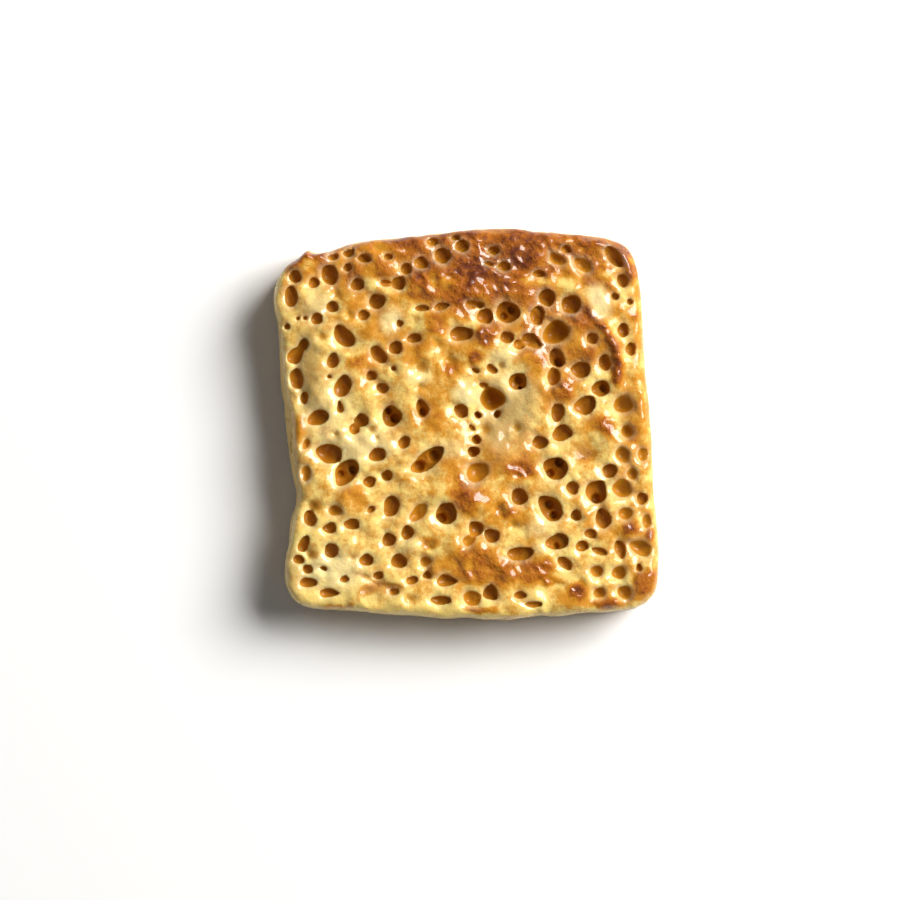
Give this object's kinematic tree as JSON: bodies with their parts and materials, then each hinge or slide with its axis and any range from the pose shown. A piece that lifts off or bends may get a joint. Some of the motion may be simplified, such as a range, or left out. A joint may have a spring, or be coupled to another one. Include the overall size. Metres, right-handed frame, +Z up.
{
  "type": "crumpet",
  "caption": "Square griddled crumpet with a flat base, soft upright sides and a gently uneven golden top full of open bubble holes.",
  "frame": {"origin": "centre of the flat base, under the middle of the plan's bounding box", "axes": "+Z up out of the pored top, -Y towards the front edge, +X to the right; the pinched side is on -X"},
  "size_m": [0.098, 0.0992, 0.0201],
  "materials": {
    "crumb": "spongy pale-gold griddled batter, browned on its high spots, with a faint moist gloss"
  },
  "bodies": {
    "root": {"crumpet": "crumb"}
  },
  "joints": []
}
